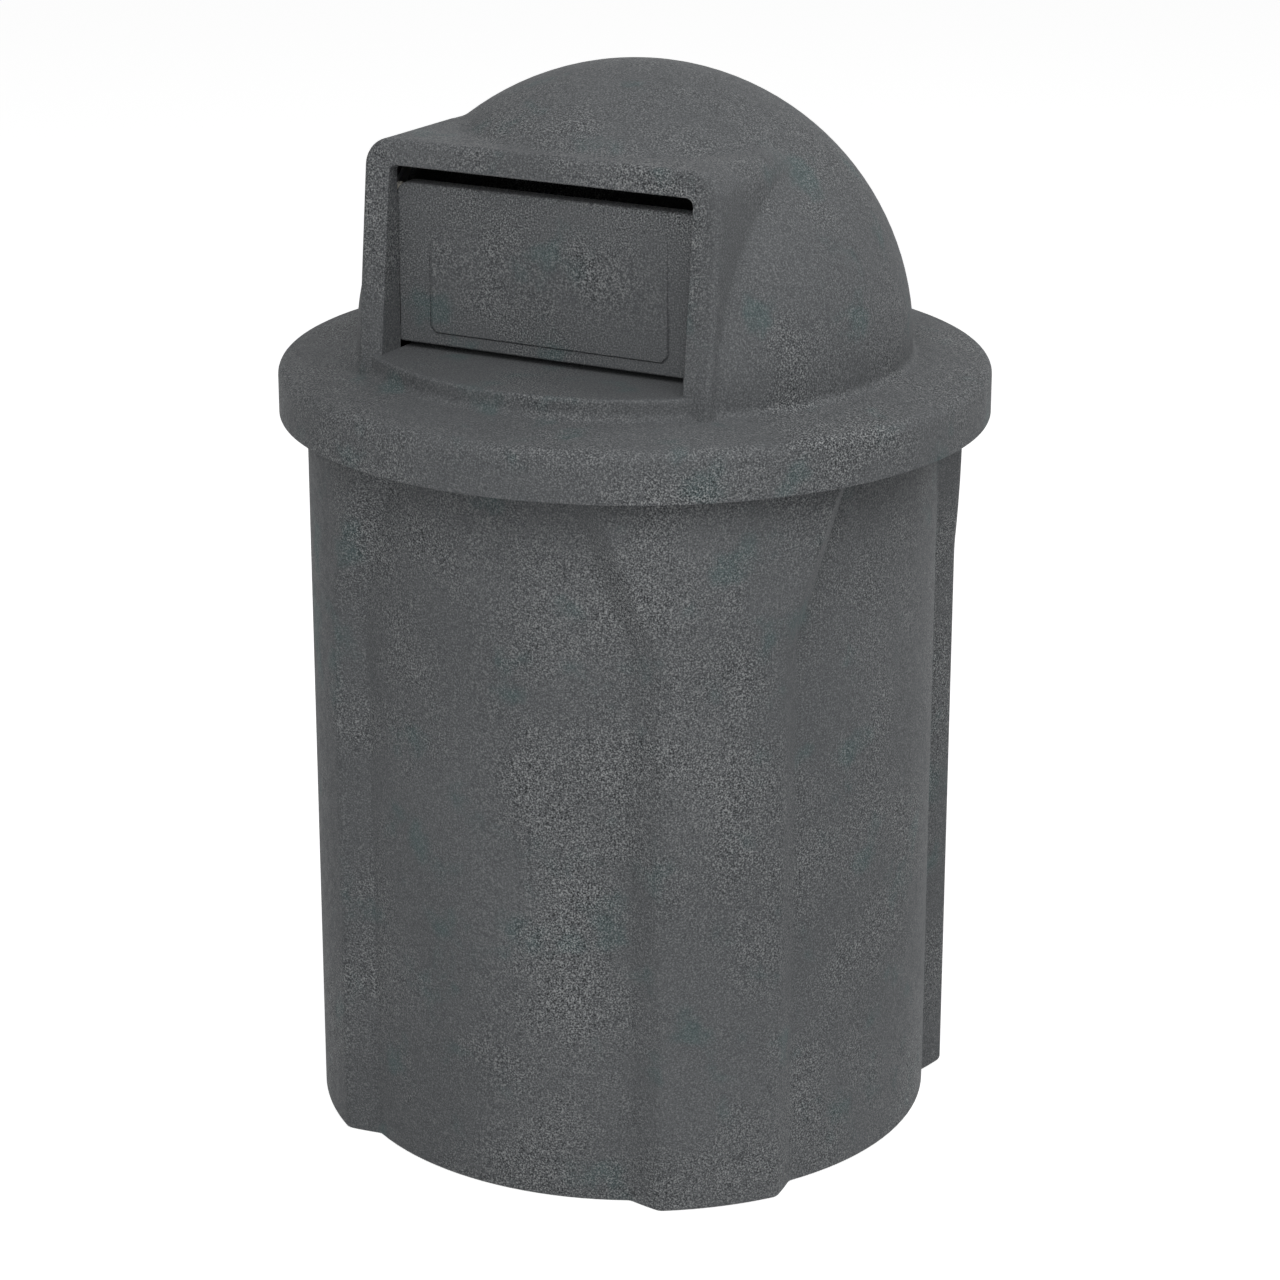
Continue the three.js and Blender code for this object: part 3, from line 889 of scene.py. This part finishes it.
    def on_hood(self, place: Vector) -> Vector:
        """Takes a point of a straight prism to the hood's skin.

        Args:
            place: The point. Its Y says how many steps it is from the front.

        Returns:
            The point on the skin.
        """
        x, step, z = place
        normal = self.hood_normal(x, z)
        ridge, last = self.ridge_steps, self.ridge_steps + self.tube_steps
        if step < ridge + 0.5:
            angle = math.radians(90 * step / ridge)
            out = -self.ridge_rounding * (1 - math.sin(angle)) - self.hood_inset(self.face_at(z))
            y = self.face_at(z + normal.y * out) + self.ridge_rounding * (1 - math.cos(angle))
        else:
            start = self.face_at(z) + self.ridge_rounding
            end = max(self.landing(x, z, normal, start), start + self.ridge_rounding / 4)
            share = (min(step, last) - ridge) / self.tube_steps
            y = start + (end - start) * (1 - (1 - share) ** self.tube_crowding)
            dome, tube = self.dome_over(x, z, normal, y), -self.hood_inset(y)
            soft = max(self.root_blend - abs(dome - tube), 0) ** 2 / (4 * self.root_blend)
            out = max(dome, tube) + soft - self.root_sink
        point = Vector((x + normal.x * out, y, z + normal.y * out))
        if step > last + 0.5:
            centre = Vector((0, 0, self.centre))
            point = centre + (point - centre) * self.root_cover
        return point

    def hood_form(self) -> bmesh.types.BMesh:
        """Lofts the hood from its leaning face to where it settles on the dome.

        Returns:
            The hood, solid inside.
        """
        half, low, top = self.hood_half, self.brim_top(self.dome_radius) - self.wall / 2, self.hood_top
        corners = [(half, low), (half, top), (-half, top), (-half, low)]
        outline = rounded(corners, (0, self.hood_rounding, self.hood_rounding, 0), self.corner_steps)
        rows = self.ridge_steps + self.tube_steps + 1
        bm = slab(spaced(outline, self.grid), 0, rows)
        along = [e for e in bm.edges if abs(e.verts[0].co.y - e.verts[1].co.y) > rows / 2]
        bmesh.ops.subdivide_edges(bm, edges=along, cuts=rows - 1, use_grid_fill=True)
        for vert in bm.verts:
            vert.co = self.on_hood(vert.co)
        return bm

    def shell(self) -> bmesh.types.BMesh:
        """Joins, cuts and hollows the lid.

        Returns:
            The whole lid as one wall, but for its bosses.
        """
        form = changed(self.round_form(), self.recess(), Change.CUT)
        bmesh.ops.remove_doubles(form, verts=form.verts, dist=SNAP)
        round_edges(form, self.is_shelf_edge, self.shelf_edge, self.shelf_steps)
        form = changed(form, self.hood_form(), Change.ADD)
        half, corner, top = self.opening_width / 2, self.opening_rounding, self.opening_top
        doorway = [(-half, self.sill), (half, self.sill), (half, top), (-half, top)]
        doorway = rounded(doorway, (0, 0, corner, corner), self.opening_steps)
        form = changed(form, slab(doorway, -2 * self.radius, -self.jamb_reach), Change.CUT)
        bmesh.ops.remove_doubles(form, verts=form.verts, dist=SNAP)
        round_edges(form, self.is_doorway_edge, self.opening_edge, self.opening_edge_steps)
        self.open_skin(form)
        form = walled(form, self.wall)
        round_edges(form, self.is_skirt_edge, self.skirt_edge, FINE_STEPS)
        return form

    def open_skin(self, form: bmesh.types.BMesh) -> None:
        """Opens the lid's underside and the doorway, and carries the sill inwards.

        Args:
            form: The lid, solid inside.
        """
        under = [f for f in form.faces if all(v.co.z < self.bottom + ON_PLANE for v in f.verts)]
        inner = [f for f in form.faces if all(abs(v.co.y + self.jamb_reach) < ON_PLANE for v in f.verts)]
        bmesh.ops.delete(form, geom=under + inner, context="FACES")
        rim = [e for e in form.edges if e.is_boundary]
        rim = [e for e in rim if both(e, lambda co: abs(co.y + self.jamb_reach) < ON_PLANE)]
        back = [e for e in rim if both(e, lambda co: abs(co.z - self.sill) < ON_PLANE)]
        made = bmesh.ops.extrude_edge_only(form, edges=back)
        plate = [v for v in made["geom"] if isinstance(v, bmesh.types.BMVert)]
        bmesh.ops.translate(form, vec=(0, self.jamb_reach - self.sill_reach, 0), verts=plate)

    def is_shelf_edge(self, edge: bmesh.types.BMEdge) -> bool:
        """Finds the shelf's round front.

        Args:
            edge: An edge of the lid.

        Returns:
            Whether it is part of that front.
        """
        middle = (edge.verts[0].co + edge.verts[1].co) / 2
        level = both(edge, lambda co: abs(co.z - self.sill) < ON_PLANE)
        return level and middle.xy.length > self.dome_radius - self.dome_fillet

    def is_doorway_edge(self, edge: bmesh.types.BMEdge) -> bool:
        """Finds the doorway's edges in the hood's face.

        Args:
            edge: An edge of the lid.

        Returns:
            Whether it runs up or over the doorway.
        """
        in_face = both(edge, lambda co: abs(co.y - self.face_at(co.z)) < SNAP)
        in_width = both(edge, lambda co: abs(co.x) < self.opening_width / 2 + SNAP)
        in_height = both(edge, lambda co: co.z < self.opening_top + SNAP)
        return in_face and in_width and in_height and any(v.co.z > self.sill + SNAP for v in edge.verts)

    def is_skirt_edge(self, edge: bmesh.types.BMEdge) -> bool:
        """Whether an edge is one of the two round the skirt's foot."""
        low = both(edge, lambda co: co.z < self.bottom + ON_PLANE)
        return low and len(edge.link_faces) == 2 and is_round(edge, self.skirt_edge / 2)

    def bosses(self) -> bmesh.types.BMesh:
        """Makes the bosses under the hood's ceiling.

        Returns:
            One round each threaded insert.
        """
        bm = bmesh.new()
        ceiling = self.hood_top - self.wall
        for name in INSERTS:
            low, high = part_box(name)
            middle = (low + high) / 2
            profile = [
                (self.boss_bore, ceiling + self.wall / 2),
                (self.boss_bore, ceiling - self.boss_depth),
                (self.boss_radius - self.skirt_edge, ceiling - self.boss_depth),
                (self.boss_radius, ceiling - self.boss_depth + self.skirt_edge),
                (self.boss_radius + self.skirt_edge, ceiling + self.wall / 2),
                (self.boss_bore, ceiling + self.wall / 2),
            ]
            boss = spun(profile, BORE_SIDES)
            bmesh.ops.translate(boss, vec=(middle.x, middle.y, 0), verts=boss.verts)
            absorb(bm, boss)
        return bm

    def make(self) -> None:
        """Makes the lid."""
        form = self.shell()
        absorb(form, self.bosses())
        finished("dome_lid_moulding", form, "lid", Slot.GRANITE, "dome_lid")


@dataclass
class RibbedBody:
    """The moulded body: curved panels between four ribs that widen into a Y under the lid.

    Attributes:
        height: The rim's height over the ground.
        rim_radius: The rim's outside.
    """

    height: float
    rim_radius: float
    wall: float = 0.006
    panel_radius: float = 0.3043
    ribs: int = 4
    rib_depth: float = 0.0237
    rib_turn: float = 43
    rib_face: float = 10.6
    rib_side: float = 5.1
    corner_width: float = 0.65
    flare_start: float = 0.578
    flare_rate: float = 73
    flare_bend: float = 0.012
    shoulder_start: float = 0.740
    shoulder_height: float = 0.014
    foot_rounding: float = 0.004
    rim_edge: float = 0.0018
    standing_radius: float = 0.2553
    floor_rise: float = 0.008
    drain_radius: float = 0.007
    drain_circle: float = 0.150
    face_steps: int = 8
    side_steps: int = 18
    panel_steps: int = 10
    foot_steps: int = 4
    straight_steps: int = 14
    flare_steps: int = 22
    shoulder_steps: int = 6

    @property
    def quarter(self) -> int:
        """Steps from the middle of one rib to the middle of the next."""
        return 2 * (self.face_steps + self.side_steps + self.panel_steps)

    def widening(self, height: float) -> float:
        """How much wider each half of a rib is at a height. It starts softly.

        Args:
            height: The height over the ground.

        Returns:
            The widening in degrees.
        """
        over = height - self.flare_start
        bend = self.flare_bend
        if over < -bend:
            return 0.0
        soft = (over + bend) ** 2 / (4 * bend) if over < bend else over
        return self.flare_rate * soft

    def turn_at(self, step: int, height: float) -> float:
        """Where a step of the outline is, seen from above.

        Args:
            step: Which step of the outline.
            height: The height over the ground.

        Returns:
            The angle from the middle of its rib, in degrees.
        """
        half = self.quarter // 2
        index = (step + half) % self.quarter - half
        count = abs(index)
        face_end = self.rib_face + self.widening(height) - self.corner_width
        side_end = face_end + self.rib_side + 2 * self.corner_width
        if count <= self.face_steps:
            angle = face_end * count / self.face_steps
        elif count <= self.face_steps + self.side_steps:
            angle = face_end + (side_end - face_end) * (count - self.face_steps) / self.side_steps
        else:
            rest = (count - self.face_steps - self.side_steps) / self.panel_steps
            angle = side_end + (QUARTER_TURN / 2 - side_end) * rest
        return math.copysign(angle, index)

    def proud(self, angle: float, height: float) -> float:
        """How far a point of the outline stands out of the panel.

        Args:
            angle: The angle from the middle of its rib, in degrees.
            height: The height over the ground.

        Returns:
            The share of a rib's depth: 1 on its face and 0 on the panel.
        """
        face_end = self.rib_face + self.widening(height)
        share = (abs(angle) - face_end) / self.rib_side
        soft = self.corner_width / self.rib_side

        def ramp(value: float) -> float:
            """Rises from 0 like a line, with a soft start."""
            gentle = (max(value, -soft) + soft) ** 2 / (4 * soft)
            return gentle if value < soft else value

        return 1 - ramp(share) + ramp(share - 1)

    def place(self, step: int, height: float, inset: float) -> Vector:
        """A point of the body's outside.

        Args:
            step: Which step of the outline.
            height: The height over the ground.
            inset: How far the outline is moved inwards.

        Returns:
            The point.
        """
        angle = self.turn_at(step, height)
        radius = self.panel_radius + self.rib_depth * self.proud(angle, height)
        rise = min(max((height - self.shoulder_start) / self.shoulder_height, 0), 1)
        radius += (self.rim_radius - radius) * rise * rise * (3 - 2 * rise)
        rib = (step + self.quarter // 2) // self.quarter
        turn = math.radians(self.rib_turn + QUARTER_TURN * rib + angle)
        radius -= inset
        return Vector((radius * math.sin(turn), -radius * math.cos(turn), height))

    def levels(self) -> list[tuple[float, float]]:
        """Where the outline is placed, from the foot to the rim.

        Returns:
            The heights and insets.
        """
        foot = self.foot_rounding
        made = []
        for i in range(self.foot_steps + 1):
            angle = math.radians(90 * i / self.foot_steps)
            made.append((foot * (1 - math.cos(angle)), foot * (1 - math.sin(angle))))
        start, end = self.flare_start - 2 * self.flare_bend, self.shoulder_start
        straight, flare, shoulder = self.straight_steps, self.flare_steps, self.shoulder_steps
        made += [(foot + (start - foot) * i / straight, 0.0) for i in range(1, straight + 1)]
        made += [(start + (end - start) * i / flare, 0.0) for i in range(1, flare + 1)]
        made += [(end + self.shoulder_height * i / shoulder, 0.0) for i in range(1, shoulder + 1)]
        made.append((self.height, 0.0))
        return made

    def skin(self) -> bmesh.types.BMesh:
        """Draws the outside up from the floor.

        Returns:
            The open skin, from the middle of the floor to the rim.
        """
        bm = bmesh.new()
        inner = self.standing_radius - self.floor_rise
        bmesh.ops.create_circle(bm, cap_ends=True, segments=self.ribs * self.quarter, radius=inner)
        layer = bm.verts.layers.int.new("step")
        ring = sorted(bm.verts, key=lambda vert: math.atan2(vert.co.y, vert.co.x))
        for step, vert in enumerate(ring):
            vert[layer] = step
            vert.co = self.circle_place(step, inner, self.floor_rise)
        edges = self.extruded(bm, bm.edges[:], lambda step: self.circle_place(step, self.standing_radius, 0))
        for height, inset in self.levels():
            edges = self.extruded(bm, edges, lambda step: self.place(step, height, inset))
        return bm

    def circle_place(self, step: int, radius: float, height: float) -> Vector:
        """A point of a circle in the floor, in line with the outline's step at the foot.

        Args:
            step: Which step of the outline.
            radius: The circle's radius.
            height: Its height over the ground.

        Returns:
            The point.
        """
        place = self.place(step, 0, 0)
        around = place.xy.normalized() * radius
        return Vector((around.x, around.y, height))

    def extruded(
        self, bm: bmesh.types.BMesh, edges: list[bmesh.types.BMEdge], place: Callable[[int], Vector]
    ) -> list[bmesh.types.BMEdge]:
        """Carries a ring of edges on to its next places.

        Args:
            bm: The skin.
            edges: The ring.
            place: Gives each step's next place.

        Returns:
            The new ring.
        """
        layer = bm.verts.layers.int["step"]
        made = bmesh.ops.extrude_edge_only(bm, edges=edges)["geom"]
        verts = {v for v in made if isinstance(v, bmesh.types.BMVert)}
        for vert in verts:
            vert.co = place(vert[layer])
        return [e for e in made if isinstance(e, bmesh.types.BMEdge) and set(e.verts) <= verts]

    def is_rim_edge(self, edge: bmesh.types.BMEdge) -> bool:
        """Whether an edge runs round the rim, outside or inside."""
        return both(edge, lambda co: co.z > self.height - ON_PLANE) and is_round(edge, self.rim_edge / 2)

    def make(self) -> None:
        """Makes the body."""
        skin = self.skin()
        bmesh.ops.recalc_face_normals(skin, faces=skin.faces)
        face_out(skin)
        form = walled(skin, self.wall)
        round_edges(form, self.is_rim_edge, self.rim_edge, FINE_STEPS)
        for i in range(self.ribs):
            angle = math.radians(QUARTER_TURN / 2 + QUARTER_TURN * i)
            x, y = self.drain_circle * math.cos(angle), self.drain_circle * math.sin(angle)
            drain = rod(self.drain_radius, Vector((x, y, -self.wall)), Vector((x, y, 4 * self.wall)))
            form = changed(form, drain, Change.CUT)
        finished("ribbed_body_moulding", form, "body", Slot.GRANITE, "body_shell")


@dataclass
class PushDoor:
    """The moulded door with its raised field, hung on a rod through its top edge.

    Attributes:
        low: The CAD door's lowest corner.
        high: Its highest corner.
        rod_low: The CAD rod's lowest corner.
        rod_high: Its highest corner.
    """

    low: Vector
    high: Vector
    rod_low: Vector
    rod_high: Vector
    bottom_drop: float = 0.0055
    top_rounding: float = 0.014
    bottom_rounding: float = 0.005
    round_steps: int = 8
    edge: float = 0.0025
    edge_steps: int = 4
    field_proud: float = 0.0018
    field_side: float = 0.038
    field_top: float = 0.022
    field_bottom: float = 0.0135
    field_cut: float = 0.006
    field_edge: float = 0.0007
    field_fade: float = 0.92
    groove_width: float = 0.0013
    groove_depth: float = 0.0018
    bore: float = 0.00595
    bush_bore: float = 0.00725
    bush_length: float = 0.0253

    @property
    def front(self) -> float:
        """Where the door's front is, along Y, without its field."""
        return self.low.y + self.field_proud

    @property
    def bottom(self) -> float:
        """Height of the door's lower edge, a little nearer the sill than the CAD door's."""
        return self.low.z - self.bottom_drop

    def panel(self) -> bmesh.types.BMesh:
        """The door's slab with its edges rounded.

        Returns:
            The slab.
        """
        low, high = self.low, self.high
        corners = [(low.x, self.bottom), (high.x, self.bottom), (high.x, high.z), (low.x, high.z)]
        radii = (self.bottom_rounding, self.bottom_rounding, self.top_rounding, self.top_rounding)
        front, back = self.front, high.y
        bm = slab(rounded(corners, radii, self.round_steps), front, back)
        round_edges(bm, lambda e: both(e, lambda co: co.y < front + TINY), self.edge, self.edge_steps)
        round_edges(bm, lambda e: both(e, lambda co: co.y > back - TINY), self.edge, self.edge_steps)
        return bm

    def field_outline(self, grow: float) -> Profile:
        """The raised field's outline with cut corners.

        Args:
            grow: How much larger it is made, all round.

        Returns:
            The outline's points.
        """
        left, right = self.low.x + self.field_side - grow, self.high.x - self.field_side + grow
        bottom, top = self.bottom + self.field_bottom - grow, self.high.z - self.field_top + grow
        corners = [(left, bottom), (right, bottom), (right, top), (left, top)]
        return rounded(corners, (self.field_cut,) * 4, 1)

    def fade(self, height: float) -> float:
        """How much of its relief the field has lost at a height."""
        bottom, top = self.bottom + self.field_bottom, self.high.z - self.field_top
        return self.field_fade * min(max((height - bottom) / (top - bottom), 0), 1)

    def groove(self) -> bmesh.types.BMesh:
        """What is cut away round the field.

        Returns:
            A slab that reaches deepest below.
        """
        bm = slab(self.field_outline(self.groove_width), self.low.y, self.front + self.groove_depth)
        for vert in bm.verts:
            if vert.co.y > self.front:
                vert.co.y -= self.groove_depth * self.fade(vert.co.z)
        return bm

    def field(self) -> bmesh.types.BMesh:
        """The raised field, with cut corners and slanted sides, upright below.

        Returns:
            The field, which sinks in towards its top.
        """
        bm = slab(self.field_outline(0), self.low.y, self.front + self.edge)
        middle = (self.low.z + self.high.z) / 2
        for vert in bm.verts:
            if vert.co.y < self.low.y + TINY:
                vert.co.x -= math.copysign(self.field_proud, vert.co.x)
                vert.co.z -= self.field_proud if vert.co.z > middle else 0
        round_edges(bm, lambda e: both(e, lambda co: co.y < self.low.y + TINY), self.field_edge, FINE_STEPS)
        for vert in bm.verts:
            if vert.co.y < self.front:
                vert.co.y += (self.front - vert.co.y) * self.fade(vert.co.z)
        return bm

    def make(self) -> None:
        """Makes the door."""
        form = changed(self.panel(), self.groove(), Change.CUT)
        form = changed(form, self.field(), Change.ADD)
        past = self.high.x + self.edge
        form = changed(form, self.bored(-past, past, self.bore), Change.CUT)
        for side in (-1, 1):
            start, end = side * (self.high.x - self.bush_length), side * past
            form = changed(form, self.bored(start, end, self.bush_bore), Change.CUT)
        finished("push_door_moulding", form, "door", Slot.GRANITE, "push_door")

    def bored(self, start: float, end: float, radius: float) -> bmesh.types.BMesh:
        """A bar along the rod's axis, to bore a hole with."""
        axis = (self.rod_low + self.rod_high) / 2
        return rod(radius, Vector((start, axis.y, axis.z)), Vector((end, axis.y, axis.z)))


@dataclass
class Fittings:
    """The CAD pieces whose shape is right already, which only get their finishes.

    Attributes:
        nodes: The frame's nodes by name.
        subparts: The record's rows of node and slot.
    """

    nodes: dict[str, bpy.types.Object]
    subparts: list[dict[str, str]]

    def make(self) -> None:
        """Dresses each node that is still shown."""
        for row in self.subparts:
            node = self.nodes[row["node"]]
            if node.hide_render:
                continue
            node.data.materials.clear()
            node.data.materials.append(MATERIALS[Slot(row["material_slot"])])
            log.info("%s: dressed as %s", row["node"], row["material_slot"])


@dataclass(frozen=True)
class Lamp:
    """A square soft lamp that looks at the middle of the object.

    Attributes:
        name: Its name.
        turn: Its direction, in degrees from straight before the door to the right.
        rise: How high it stands, in degrees over the level.
        power: Its power in watts.
    """

    name: str
    turn: float
    rise: float
    power: float
    aim: tuple[float, float, float] = (0, 0, 0.7)
    distance: float = 4.2
    size: float = 2.2

    def make(self) -> None:
        """Hangs the lamp."""
        around, up = math.radians(self.turn), math.radians(self.rise)
        away = Vector((math.sin(around) * math.cos(up), -math.cos(around) * math.cos(up), math.sin(up)))
        light = bpy.data.lights.new(self.name, "AREA")
        light.size = self.size
        light.energy = self.power
        lamp = bpy.data.objects.new(self.name, light)
        lamp.location = Vector(self.aim) + away * self.distance
        lamp.rotation_euler = (-away).to_track_quat("-Z", "Y").to_euler()
        bpy.context.scene.collection.objects.link(lamp)


LAMPS = (
    Lamp("low front lamp", turn=20, rise=15, power=30),
    Lamp("high front lamp", turn=20, rise=45, power=58),
    Lamp("side lamp", turn=65, rise=45, power=20),
    Lamp("back lamp", turn=120, rise=45, power=46),
)


@dataclass
class Studio:
    """A pale floor, a white surround, soft lamps and the camera."""

    floor_radius: float = 40.0
    floor_sides: int = 96
    floor_gap: float = 0.0005
    floor_colour: Colour = (0.8, 0.8, 0.8)
    floor_roughness: float = 0.9
    floor_glow: float = 0.8
    surround: float = 0.18
    camera_place: Vector = field(default_factory=lambda: Vector((1.7228, -3.2131, 1.7309)))
    camera_turn: float = math.radians(28.2)
    camera_dip: float = math.radians(18.887)
    lens: float = 105.75
    sensor: float = 36.0
    shift: float = 0.0039

    def seen_directly(self, tree: bpy.types.NodeTree) -> bpy.types.NodeSocket:
        """Tells what is looked at from what gives light.

        Args:
            tree: The nodes to add to.

        Returns:
            1 where the camera, a reflection or a view through glass looks straight at it, or else 0.
        """
        path = tree.nodes.new("ShaderNodeLightPath")
        total = path.outputs["Is Camera Ray"]
        for name in ("Is Glossy Ray", "Is Transmission Ray"):
            node = tree.nodes.new("ShaderNodeMath")
            node.operation = "MAXIMUM"
            tree.links.new(total, node.inputs[0])
            tree.links.new(path.outputs[name], node.inputs[1])
            total = node.outputs[0]
        return total

    def floor(self) -> None:
        """A wide pale floor that looks white and keeps a soft shadow."""
        bm = bmesh.new()
        bmesh.ops.create_circle(bm, cap_ends=True, segments=self.floor_sides, radius=self.floor_radius)
        bmesh.ops.translate(bm, vec=(0, 0, -self.floor_gap), verts=bm.verts)
        mesh = bpy.data.meshes.new("floor")
        bm.to_mesh(mesh)
        bm.free()
        floor = bpy.data.objects.new("floor", mesh)
        bpy.context.scene.collection.objects.link(floor)
        material = bpy.data.materials.new("pale floor")
        material.use_nodes = True
        tree = material.node_tree
        shader = tree.nodes["Principled BSDF"]
        shader.inputs["Base Color"].default_value = (*self.floor_colour, 1)
        shader.inputs["Roughness"].default_value = self.floor_roughness
        shader.inputs["Specular IOR Level"].default_value = 0.0
        shader.inputs["Emission Color"].default_value = (1, 1, 1, 1)
        glow = tree.nodes.new("ShaderNodeMath")
        glow.operation = "MULTIPLY"
        glow.inputs[1].default_value = self.floor_glow
        tree.links.new(self.seen_directly(tree), glow.inputs[0])
        tree.links.new(glow.outputs[0], shader.inputs["Emission Strength"])
        mesh.materials.append(material)

    def world(self) -> None:
        """White where it is seen, and softer as a light."""
        world = bpy.data.worlds.new("surround")
        world.use_nodes = True
        bpy.context.scene.world = world
        tree = world.node_tree
        strength = tree.nodes.new("ShaderNodeMapRange")
        strength.inputs["To Min"].default_value = self.surround
        strength.inputs["To Max"].default_value = 1.0
        tree.links.new(self.seen_directly(tree), strength.inputs["Value"])
        background = tree.nodes["Background"]
        background.inputs["Color"].default_value = (1, 1, 1, 1)
        tree.links.new(strength.outputs["Result"], background.inputs["Strength"])

    def camera(self) -> None:
        """The camera at the photograph's place and angle."""
        data = bpy.data.cameras.new("camera")
        data.lens = self.lens
        data.sensor_width = self.sensor
        data.shift_x = self.shift
        camera = bpy.data.objects.new("camera", data)
        level = math.cos(self.camera_dip)
        ahead = Vector((-math.sin(self.camera_turn) * level, math.cos(self.camera_turn) * level))
        look = Vector((ahead.x, ahead.y, -math.sin(self.camera_dip)))
        camera.location = self.camera_place
        camera.rotation_euler = look.to_track_quat("-Z", "Y").to_euler()
        bpy.context.scene.collection.objects.link(camera)
        bpy.context.scene.camera = camera

    def make(self) -> None:
        """Sets the stage."""
        bpy.context.scene.view_settings.view_transform = "Standard"
        self.floor()
        self.world()
        for lamp in LAMPS:
            lamp.make()
        self.camera()


def main() -> None:
    """Builds the receptacle piece by piece round the CAD frame."""
    logging.basicConfig(level=logging.INFO, format="%(message)s")
    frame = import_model()
    for slot, finish in FINISHES.items():
        MATERIALS[slot] = finish.make()
    DomeLid(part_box("dome_lid")[0].z).make()
    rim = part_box("body_shell")[1]
    RibbedBody(rim.z, rim.x).make()
    PushDoor(*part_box("push_door"), *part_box("hinge_rod")).make()
    Fittings(frame["nodes"], frame["record"]["subparts"]).make()
    Studio().make()


if __name__ == "__main__":
    main()
